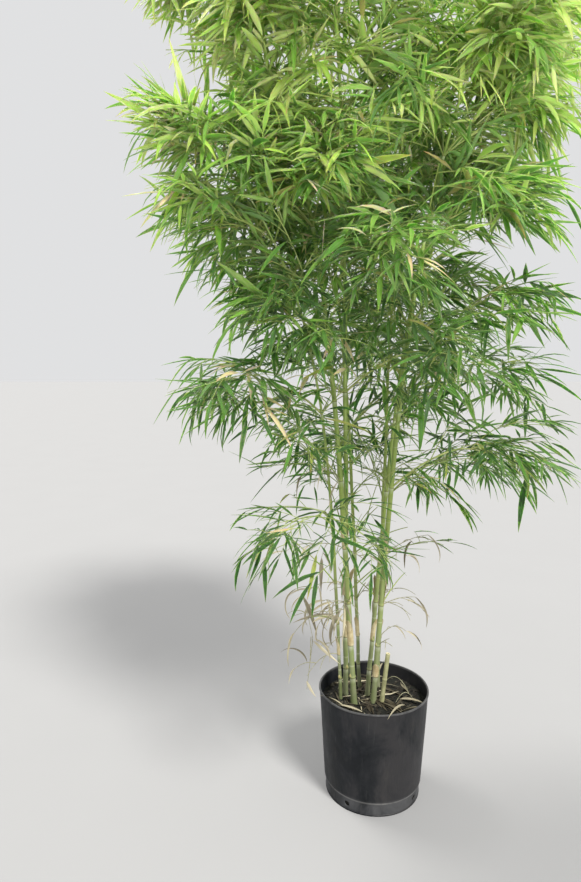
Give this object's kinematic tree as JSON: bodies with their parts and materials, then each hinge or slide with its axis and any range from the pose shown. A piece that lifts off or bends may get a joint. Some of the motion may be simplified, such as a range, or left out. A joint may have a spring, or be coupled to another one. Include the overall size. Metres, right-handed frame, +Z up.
{
  "type": "potted bamboo",
  "caption": "Clumping bamboo in a round tapered nursery pot, with upright jointed canes and airy masses of narrow pointed leaves.",
  "frame": {"origin": "centre of the pot's flat underside, on the ground", "axes": "+Z up along the pot's axis, -Y towards the side that is pictured, +X to the right in the picture"},
  "size_m": [1.1938, 1.1275, 2.2614],
  "materials": {
    "pot": "black polyethylene, dusty and scuffed",
    "potting_mix": "composted bark mix, rough and matt",
    "cane": "smooth living cane, pale ring at each joint",
    "dry_cane": "dry cut cane",
    "bough": "smooth living branch",
    "foliage": "thin leaves with a soft satin sheen"
  },
  "bodies": {
    "root": {"bough_back_left_low": "bough", "bough_back_left_mid": "bough", "bough_back_low": "bough", "bough_back_mid": "bough", "bough_back_right_low": "bough", "bough_back_right_mid": "bough", "bough_front_low": "bough", "bough_front_mid": "bough", "bough_left_low": "bough", "bough_left_mid": "bough", "bough_right_low": "bough", "bough_right_mid": "bough", "bough_thin_left_low": "bough", "bough_thin_left_mid": "bough", "cane_back": "cane", "cane_back_left": "cane", "cane_back_right": "cane", "cane_cut": "dry_cane", "cane_front": "cane", "cane_left": "cane", "cane_right": "cane", "cane_thin_left": "cane", "foliage_back_high": "foliage", "foliage_back_left_high": "foliage", "foliage_back_left_low": "foliage", "foliage_back_left_mid": "foliage", "foliage_back_left_tip": "foliage", "foliage_back_left_upper": "foliage", "foliage_back_low": "foliage", "foliage_back_mid": "foliage", "foliage_back_right_high": "foliage", "foliage_back_right_low": "foliage", "foliage_back_right_mid": "foliage", "foliage_back_right_tip": "foliage", "foliage_back_right_upper": "foliage", "foliage_back_tip": "foliage", "foliage_back_upper": "foliage", "foliage_front_high": "foliage", "foliage_front_low": "foliage", "foliage_front_mid": "foliage", "foliage_front_tip": "foliage", "foliage_front_upper": "foliage", "foliage_left_high": "foliage", "foliage_left_low": "foliage", "foliage_left_mid": "foliage", "foliage_left_tip": "foliage", "foliage_left_upper": "foliage", "foliage_right_high": "foliage", "foliage_right_low": "foliage", "foliage_right_mid": "foliage", "foliage_right_tip": "foliage", "foliage_right_upper": "foliage", "foliage_thin_left_high": "foliage", "foliage_thin_left_low": "foliage", "foliage_thin_left_mid": "foliage", "foliage_thin_left_tip": "foliage", "foliage_thin_left_upper": "foliage", "pot": "pot", "potting_mix": "potting_mix"}
  },
  "joints": []
}
